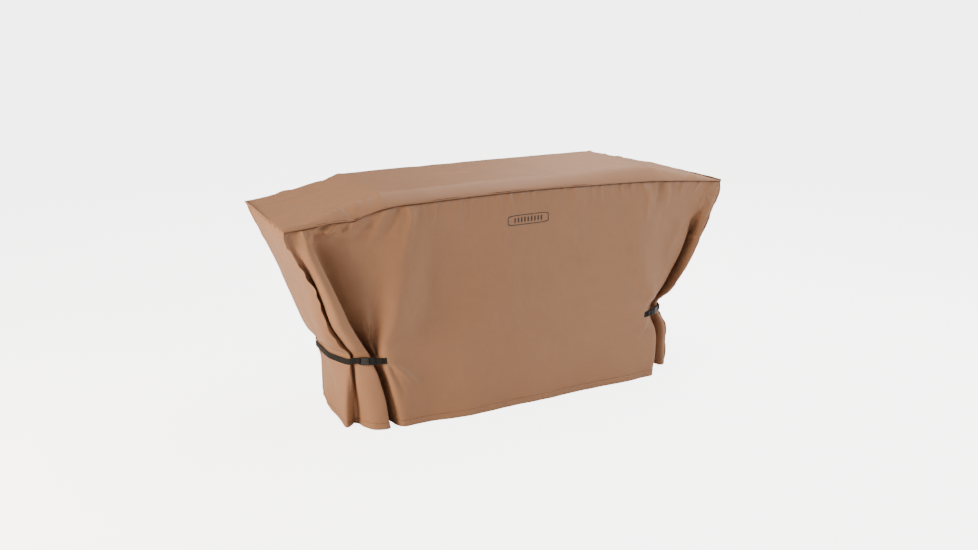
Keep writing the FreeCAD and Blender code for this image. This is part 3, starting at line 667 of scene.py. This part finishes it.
def cornerSeam(name, table, column, sideX, sideY, width, high, low, node):
    count = round((high - low) / finSettings["step"])
    spots = []
    for i in range(count + 1):
        h = high + (low - high) * i / count
        spots.append((h, raised(stationsAt(table, h)[column], h)))

    def place(u, v):
        h, spot = spots[round((1 - v) * count)]
        ends = smooth(0, 0.05, v) * smooth(1, 0.95, v)
        notch = 0.45 + 0.55 * smooth(-0.25, 0.05, drift(spot, 13, 3))
        angle = 0.7 + math.radians(52 * along(finLean, h) + 16 * drift(spot, 9, 9))
        out = Vector((sideX * math.cos(angle), sideY * math.sin(angle), 0))
        curl = Vector((-sideX * math.sin(angle), sideY * math.cos(angle), 0))
        reach = width * u * notch * (0.4 + 0.6 * ends)
        return spot + out * (reach - 0.001) + curl * (finSettings["wave"] * width * drift(spot, 24, 5) * u)

    piece = gridSheet(name, 5, count, place,
                      lambda u, v: (u * finSettings["mapWidth"], v * (high - low)), [seamCloth])
    thicken(piece, finSettings["thickness"], 0.0)
    ownPiece(piece, "seam_cloth", node)


# each corner's wall, its column there, which way is out, and how far the allowance shows
corners = {"front_left": (frontStations, 0, -1, -1, 0.015), "front_right": (frontStations, -1, 1, -1, 0.007),
           "rear_left": (rearStations, -1, -1, 1, 0.004), "rear_right": (rearStations, 0, 1, 1, 0.010)}
for name, corner in corners.items():
    for part in ("upper", "lower"):
        cornerSeam(f"{name}_{part}_fin", *corner, *finSettings[part], f"{name}_{part}_seam")
print("stage: corner seams")

# top

topSettings = {"columns": 300, "rows": 84, "plateauHalf": 0.60, "plateauDepth": 0.209,
               "height": 0.9497, "shelfHeight": 0.857, "endX": 0.984, "edgeY": 0.2632, "bend": 0.09,
               "sag": 0.006, "thickness": 0.0009, "cut": (2.0, 0.58)}
topCreases = (
    # start and end in x and y, width, height: short folds beside the front seam, then long hips
    (-0.600, -0.196, -0.598, -0.262, 0.008, 0.0045), (-0.625, -0.205, -0.640, -0.262, 0.010, -0.0045),
    (-0.690, -0.225, -0.720, -0.262, 0.010, 0.0060), (-0.750, -0.235, -0.700, -0.262, 0.008, -0.0050),
    (-0.800, -0.235, -0.745, -0.225, 0.009, 0.0050), (0.600, -0.190, 0.640, -0.262, 0.012, 0.0045),
    (0.660, -0.215, 0.720, -0.262, 0.012, -0.0045), (0.860, -0.235, 0.780, -0.262, 0.009, 0.0050),
    (-0.860, -0.215, -0.600, -0.110, 0.020, 0.0040), (-0.950, -0.120, -0.700, -0.060, 0.030, 0.0035),
    (0.930, -0.100, 0.640, -0.030, 0.030, 0.0035), (-0.420, -0.110, -0.180, -0.180, 0.030, 0.0028),
    (0.150, 0.020, 0.420, -0.120, 0.040, 0.0026),
)


def topHeight(x, y):
    half, depth, edgeY = topSettings["plateauHalf"], topSettings["plateauDepth"], topSettings["edgeY"]
    bend, height = topSettings["bend"], topSettings["height"]
    reach = (abs(x) - half) / (topSettings["endX"] - half)
    shelf = clamp(reach)
    # the cloth bends softly over the raised edge, then sags a little towards the shelf end
    soft = (reach + math.sqrt(reach * reach + bend ** 2)) / 2 - bend ** 2 / 4 / (1 + abs(reach))
    ridge = height - (height - topSettings["shelfHeight"]) * clamp(soft)
    ridge -= topSettings["sag"] * math.sin(math.pi * shelf)
    start = (depth + (edgeY - depth) * shelf * 0.92) / edgeY
    t = clamp(abs(y) / edgeY)
    fall = clamp((t - start) / (1 - start)) ** 1.55
    edge = seamHeight(x, -edgeY if y < 0 else edgeY)
    return ridge + (edge - ridge) * fall


def topPlace(u, v):
    # the outermost row and column turn down over the walls as a narrow lip
    s, t = u * 2 - 1, v * 2 - 1
    lipS = abs(s) > 1 - 1.5 / topSettings["columns"]
    lipT = abs(t) > 1 - 1.5 / topSettings["rows"]
    s = clamp(s * (1 + 2 / topSettings["columns"]), -1, 1)
    t = clamp(t * (1 + 2 / topSettings["rows"]), -1, 1)
    x = math.copysign(abs(s) ** 0.96, s) * topSettings["endX"]
    y = t * topSettings["edgeY"]
    z = topHeight(x, y)
    if lipS or lipT:
        return Vector((x + (0.0008 if lipS else 0) * (1 if s > 0 else -1),
                       y + (0.0030 if lipT else 0) * (1 if t > 0 else -1), z - 0.0055))
    edge = min(smooth(1, 0.94, abs(s)), smooth(1, 0.9, abs(t)))
    z += 0.0022 * drift(Vector((x, y * 1.5, 0)), 5, 31) * edge
    z += 0.0014 * drift(Vector((x, y, 0)), 14, 37) * edge
    turn = 1 if y < 0 else -1
    z += creaseHeight(topCreases, x * turn, y * turn) * smooth(1, 0.985, abs(t))
    return Vector((x, y, z))


topCloth = gridSheet("topCloth", topSettings["columns"], topSettings["rows"], topPlace,
                     lambda u, v: (u * 2.0, v * 0.56), [coverCloth])
thicken(topCloth, topSettings["thickness"])
ownPiece(topCloth, "cover_cloth", "top_panel", "front_seam_tape", "rear_seam_tape")

topStitch = {"pitch": 0.0042, "length": 0.0031, "thick": 0.0007, "lift": 0.0003}
beadSettings = {"radius": 0.0028, "half": 0.258}
for side, y in (("front", -1), ("rear", 1)):
    inset = topSettings["edgeY"] - 0.005
    run = []
    for i in range(401):
        x = -0.975 + 1.95 * i / 400
        out = Vector((0, y * 0.5, 0.85)).normalized()
        run.append((Vector((x, y * inset, topHeight(x, y * inset))), out))
    ownPiece(stitchRun(f"{side}TopStitches", run, topStitch, tanThread), "thread")
for side, x in (("left", -1), ("right", 1)):
    spots = []
    for i in range(61):
        y = beadSettings["half"] * (i / 30 - 1)
        z = seamHeight(x * topSettings["endX"], y) + 0.0008 + 0.0006 * math.sin(y * 60)
        spots.append(Vector((x * (topSettings["endX"] + 0.0012), y, z)))
    bead = tubePiece(f"{side}Piping", spots, beadSettings["radius"], seamCloth)
    ownPiece(bead, "piping", f"{side}_piping")
print("stage: top and piping")

# straps and buckles

strap = {"width": 0.025, "thickness": 0.0013, "height": strapLevel, "front": 0.263, "frontHalf": 0.615,
         "end": 0.735, "slope": 0.5666667, "bulge": 0.780, "bulgeHalf": 0.08, "tack": 0.590, "dip": 0.008}
facetTurn = math.atan(strap["slope"])
cosTurn, sinTurn = math.cos(facetTurn), math.sin(facetTurn)
cornerY = strap["front"] - (strap["end"] - strap["frontHalf"]) * strap["slope"]
facetMiddle = ((strap["frontHalf"] + strap["end"]) / 2, (strap["front"] + cornerY) / 2)
upright = Vector((0, 0, 1))


def facetMatrix(side):
    x = Vector((-side * cosTurn, -sinTurn, 0))
    y = Vector((0, 0, -side))
    z = Vector((side * sinTurn, -cosTurn, 0))
    turn = Matrix((x, y, z)).transposed().to_4x4()
    return Matrix.Translation((side * facetMiddle[0], -facetMiddle[1], strap["height"])) @ turn


def flatRibbon(name, corners, out, node, low=0.0):
    path = [(point, upright) for point in sagged(roundPath(corners, 0.004), low)]
    piece = ribbonPiece(name, path, out, strap["width"], strap["thickness"], [webbing])
    ownPiece(piece, "webbing", node)


def sagged(points, low):
    # the webbing hangs a little lower round the end than at the buckle
    lengths = [0.0]
    for a, b in zip(points, points[1:]):
        lengths.append(lengths[-1] + (b - a).length)
    spots = []
    for point, run in zip(points, lengths):
        share = min(smooth(0.01, 0.07, run), smooth(lengths[-1] - 0.03, lengths[-1] - 0.13, run))
        spots.append(point - Vector((0, 0, low * share)))
    return spots


def facetSpot(side, run, lift=0.0):
    # a spot on the corner facet, run metres from its front corner
    return Vector((side * (strap["frontHalf"] + run * cosTurn + lift * sinTurn),
                   -(strap["front"] - run * sinTurn + lift * cosTurn), strap["height"]))


for name, side in (("left", -1), ("right", 1)):
    height = strap["height"]
    gap = 0.0002
    front = [Vector((side * strap["tack"], -strap["front"] - gap, height)),
             Vector((side * (strap["frontHalf"] - 0.012), -strap["front"] - gap, height)),
             Vector((side * (strap["frontHalf"] - 0.002), -strap["front"] - gap + 0.0001, height)),
             facetSpot(side, 0.004, gap), facetSpot(side, 0.025, gap), facetSpot(side, 0.050, gap)]
    flatRibbon(f"{name}FrontWebbing", front, Vector((0, -1, 0)), f"{name}_front_strap")
    corner = Vector((side * strap["end"], -cornerY, height))
    bulge = Vector((side * strap["bulge"], -strap["bulgeHalf"], height))
    onFacet = (facetSpot(side, 0.12, gap) - corner).normalized()
    onEnd = (bulge - corner).normalized()
    lift = Vector((side * 0.0004, 0, 0))
    end = [facetSpot(side, 0.093, gap), facetSpot(side, 0.112, gap), corner + onFacet * 0.006 + lift,
           corner + onEnd * 0.006 + lift, bulge - onEnd * 0.012 + lift, bulge + Vector((0, 0.012, 0)) + lift]
    mirror = [Vector((p.x, -p.y, p.z)) for p in reversed(end[2:])]
    rear = [facetSpot(side, 0.112, gap), facetSpot(side, 0.006, gap),
            Vector((side * (strap["frontHalf"] - 0.004), -strap["front"] - gap, height)),
            Vector((side * strap["tack"], -strap["front"] - gap, height))]
    rear = [Vector((p.x, -p.y, p.z)) for p in rear]
    outward = facetMatrix(side).to_3x3() @ Vector((0, 0, 1))
    flatRibbon(f"{name}EndWebbing", end + mirror + rear, outward, f"{name}_end_strap", strap["dip"])
print("stage: straps")


def roundedCopy(node, name, width, body):
    # the buckle's own shape with its edges softened
    source = bpy.data.objects[node]
    mesh = source.data.copy()
    bm = bmesh.new()
    bm.from_mesh(mesh)
    bmesh.ops.remove_doubles(bm, verts=bm.verts, dist=0.00001)
    bmesh.ops.dissolve_limit(bm, angle_limit=0.02, verts=bm.verts, edges=bm.edges)
    bm.to_mesh(mesh)
    bm.free()
    mesh.materials.clear()
    mesh.materials.append(plastic)
    piece = bpy.data.objects.new(name, mesh)
    collection.objects.link(piece)
    edge = piece.modifiers.new("edge", "BEVEL")
    edge.width = width
    edge.segments = 3
    edge.limit_method = "ANGLE"
    for face in mesh.polygons:
        face.use_smooth = True
    normals = piece.modifiers.new("normals", "WEIGHTED_NORMAL")
    normals.keep_sharp = True
    ownPiece(piece, "buckle_plastic", node, body=body)


softEdge = {"socket": 0.0007, "plug": 0.0006, "arm": 0.0007}
for name in ("left", "right"):
    roundedCopy(f"{name}_buckle_socket", f"{name}Socket", softEdge["socket"], "cover")
    roundedCopy(f"{name}_buckle_plug", f"{name}Plug", softEdge["plug"], f"{name}_clip")
    for part in ("upper", "lower"):
        arm = f"{name}{part.title()}Arm"
        roundedCopy(f"{name}_{part}_arm", arm, softEdge["arm"], f"{name}_{part}_press")

# side views of the loop round the socket's bar and the tail through the plug, on the facet
foldPath = ((-0.0246, 0.0016), (-0.0246, 0.0050), (-0.0252, 0.0068), (-0.0285, 0.0070), (-0.0312, 0.0068),
            (-0.0336, 0.0042), (-0.0362, 0.0022), (-0.042, 0.00195), (-0.060, 0.00195))
tailPath = ((0.036, 0.00245), (0.024, 0.00245), (0.0125, 0.00245), (0.0107, 0.0036), (0.0106, 0.0062),
            (0.0122, 0.00795), (0.020, 0.0081), (0.0305, 0.0081), (0.0345, 0.0062), (0.0385, 0.0044),
            (0.046, 0.0042), (0.054, 0.0046), (0.062, 0.0041))
looseStrap = {"width": 0.0244, "thickness": 0.0011}
for name, side in (("left", -1), ("right", 1)):
    turn = facetMatrix(side)
    for part, line, body in (("fold", foldPath, "cover"), ("tail", tailPath, f"{name}_clip")):
        knots = [Vector((x, 0, z)) for x, z in line]
        points = roundPath(knots, 0.0015)
        path = [(turn @ point, turn.to_3x3() @ Vector((0, 1, 0))) for point in points]
        piece = ribbonPiece(f"{name}Strap{part.title()}", path, turn.to_3x3() @ Vector((0, 0, 1)),
                            looseStrap["width"], looseStrap["thickness"], [webbing])
        piece.modifiers["thickness"].offset = 0.0
        ownPiece(piece, "webbing", f"{name}_strap_{part}", body=body)
print("stage: buckles")

# box-and-cross stitching at the four strap ends, and the patches sewn inside the wall behind them
boxStitch = {"pitch": 0.0029, "length": 0.0024, "thick": 0.0007, "lift": 0.0001, "half": 0.0095}
patchCloth = {"width": 0.025, "height": 0.036, "thickness": 0.0011, "shift": 0.0025, "bow": 0.0005}
for name, (_, _, side, face, _) in corners.items():
    middle = Vector((side * (strap["tack"] + 0.012), face * (strap["front"] + 0.0016), strap["height"]))
    half = boxStitch["half"]
    square = ((-half, -half), (half, -half), (half, half), (-half, half), (-half, -half), (half, half))
    diagonal = ((half, -half), (-half, half))
    spots = [(middle + Vector((x, 0, z)), Vector((0, face, 0))) for x, z in square]
    piece = stitchRun(f"{name}BoxStitch", spots, boxStitch, thread)
    other = [(middle + Vector((x, 0, z)), Vector((0, face, 0))) for x, z in diagonal]
    cross = stitchRun(f"{name}CrossStitch", other, boxStitch, thread)
    ownPiece(piece, "thread", f"{name}_stitch")
    ownPiece(cross, "thread")

    low, high = (Vector(corner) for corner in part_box(f"{name}_patch"))
    across = (low.x + high.x) / 2 - side * patchCloth["shift"]
    up = (low.z + high.z) / 2
    inner = min(abs(low.y), abs(high.y))

    def patchSpot(u, v, across=across, up=up, inner=inner, face=face):
        bow = patchCloth["bow"] * math.sin(math.pi * u) * math.sin(math.pi * v)
        return Vector((across - face * (u - 0.5) * patchCloth["width"], face * (inner + bow),
                       up + (v - 0.5) * patchCloth["height"]))

    patch = gridSheet(f"{name}Patch", 10, 14, patchSpot,
                      lambda u, v: (u * patchCloth["width"], v * patchCloth["height"]), [liningCloth])
    thicken(patch, patchCloth["thickness"])
    ownPiece(patch, "lining_tape", f"{name}_patch")
print("stage: strap stitching and patches")

# printed mark: a plain rounded frame with upright bars, laid on the front cloth
mark = {"x": 0.014, "z": 0.790, "length": 0.188, "depth": 0.042, "line": 0.0036, "rise": 0.0003,
        "bars": 9, "gap": 0.0150, "bar": 0.0068, "barDepth": 0.022, "thickness": 0.0002}
bpy.context.view_layer.update()
clothTree = BVHTree.FromObject(walls["front"], bpy.context.evaluated_depsgraph_get())


def onFront(x, z):
    hit = clothTree.ray_cast(Vector((x, -0.6, z)), Vector((0, 1, 0)))
    return hit[0] + Vector((0, -mark["rise"], 0))


def framePoint(u, inset):
    # once round a rounded rectangle
    a, b = mark["length"] / 2 - inset, mark["depth"] / 2 - inset
    angle = u * 2 * math.pi
    c, s = math.cos(angle), math.sin(angle)
    power = 2 / 7
    return (math.copysign(abs(c) ** power, c) * a, math.copysign(abs(s) ** power, s) * b)


def frameSpot(u, v):
    x, z = framePoint(u, mark["line"] * (1 - v))
    return onFront(mark["x"] + x, mark["z"] + z)


pieces = [gridSheet("markFrame", 160, 2, frameSpot, lambda u, v: (u, v), [markInk])]
for i in range(mark["bars"]):
    middle = mark["x"] + (i - (mark["bars"] - 1) / 2) * mark["gap"]

    def barSpot(u, v, middle=middle):
        z = (v - 0.5) * mark["barDepth"]
        taper = math.sqrt(max(0.0, 1 - (abs(v - 0.5) * 2) ** 8))
        return onFront(middle + (u - 0.5) * mark["bar"] * taper, mark["z"] + z)

    pieces.append(gridSheet(f"markBar{i}", 2, 14, barSpot, lambda u, v: (u, v), [markInk]))
bm = bmesh.new()
for piece in pieces:
    bm.from_mesh(piece.data)
    bpy.data.objects.remove(piece)
bmesh.ops.remove_doubles(bm, verts=bm.verts, dist=0.00002)
printed = newPiece("frontMark", bm, [markInk])
for face in printed.data.polygons:
    if face.normal.y > 0:
        face.flip()
thicken(printed, mark["thickness"], 0.0)
ownPiece(printed, "mark_print", "front_mark")
print("stage: mark")

# floor, lights and camera

studio = {"floorHalf": 200, "floorGlow": 4.6, "skyLight": 0.33, "skyGlow": 6.4, "lens": 37.44,
          "cameraSpot": (-1.9328, -3.7086, 1.7317), "cameraAim": (-0.027, 0, 0.492)}
bm = bmesh.new()
bmesh.ops.create_grid(bm, x_segments=8, y_segments=8, size=studio["floorHalf"])
floor = newPiece("floor", bm, [])
floorMaterial, floorTree, floorShader = nodeSet("floor")
floorShader.inputs["Base Color"].default_value = (0.94, 0.94, 0.94, 1)
floorShader.inputs["Emission Color"].default_value = (1, 1, 1, 1)
seenFloor = addNode(floorTree, "ShaderNodeLightPath")
# a lift seen only by the camera keeps the floor pale without lighting the cloth
floorGlow = addNode(floorTree, "ShaderNodeMath", {1: studio["floorGlow"]}, operation="MULTIPLY")
floorTree.links.new(seenFloor.outputs["Is Camera Ray"], floorGlow.inputs[0])
floorTree.links.new(floorGlow.outputs[0], floorShader.inputs["Emission Strength"])
floorShader.inputs["Roughness"].default_value = 0.85
floor.data.materials.append(floorMaterial)


def areaLight(name, spot, target, size, power, color):
    lamp = bpy.data.lights.new(name, "AREA")
    lamp.shape = "RECTANGLE"
    lamp.size, lamp.size_y = size
    lamp.energy = power
    lamp.color = color
    holder = bpy.data.objects.new(name, lamp)
    collection.objects.link(holder)
    holder.location = spot
    holder.rotation_euler = (Vector(target) - Vector(spot)).to_track_quat("-Z", "Y").to_euler()


areaLight("keyLight", (-4.2, -0.55, 1.6), (-0.3, 0, 0.5), (1.5, 1.7), 275, (1.0, 0.80, 0.58))
areaLight("topLight", (1.2, 0.2, 3.2), (0.5, 0, 0.8), (2.6, 2.2), 122, (1.0, 0.94, 0.88))
areaLight("backLight", (2.6, 2.6, 2.4), (0.5, 0, 0.8), (2.0, 1.4), 18, (1.0, 0.86, 0.74))
areaLight("frontLight", (3.3, -2.8, 1.8), (0.7, 0, 0.45), (1.6, 1.6), 98, (1.0, 0.97, 0.94))
world = bpy.data.worlds.new("studio")
world.use_nodes = True
worldTree = world.node_tree
backdrop = worldTree.nodes["Background"]
backdrop.inputs["Color"].default_value = (1, 0.985, 0.97, 1)
seenSky = addNode(worldTree, "ShaderNodeLightPath")
skyGlow = addNode(worldTree, "ShaderNodeMapRange",
                  {"To Min": studio["skyLight"], "To Max": studio["skyGlow"]})
worldTree.links.new(seenSky.outputs["Is Camera Ray"], skyGlow.inputs["Value"])
worldTree.links.new(skyGlow.outputs["Result"], backdrop.inputs["Strength"])
bpy.context.scene.world = world

camera = bpy.data.objects.new("camera", bpy.data.cameras.new("camera"))
collection.objects.link(camera)
camera.data.sensor_width = 36
camera.data.lens = studio["lens"]
camera.location = studio["cameraSpot"]
aim = Vector(studio["cameraAim"]) - camera.location
camera.rotation_euler = aim.to_track_quat("-Z", "Y").to_euler()
bpy.context.scene.camera = camera
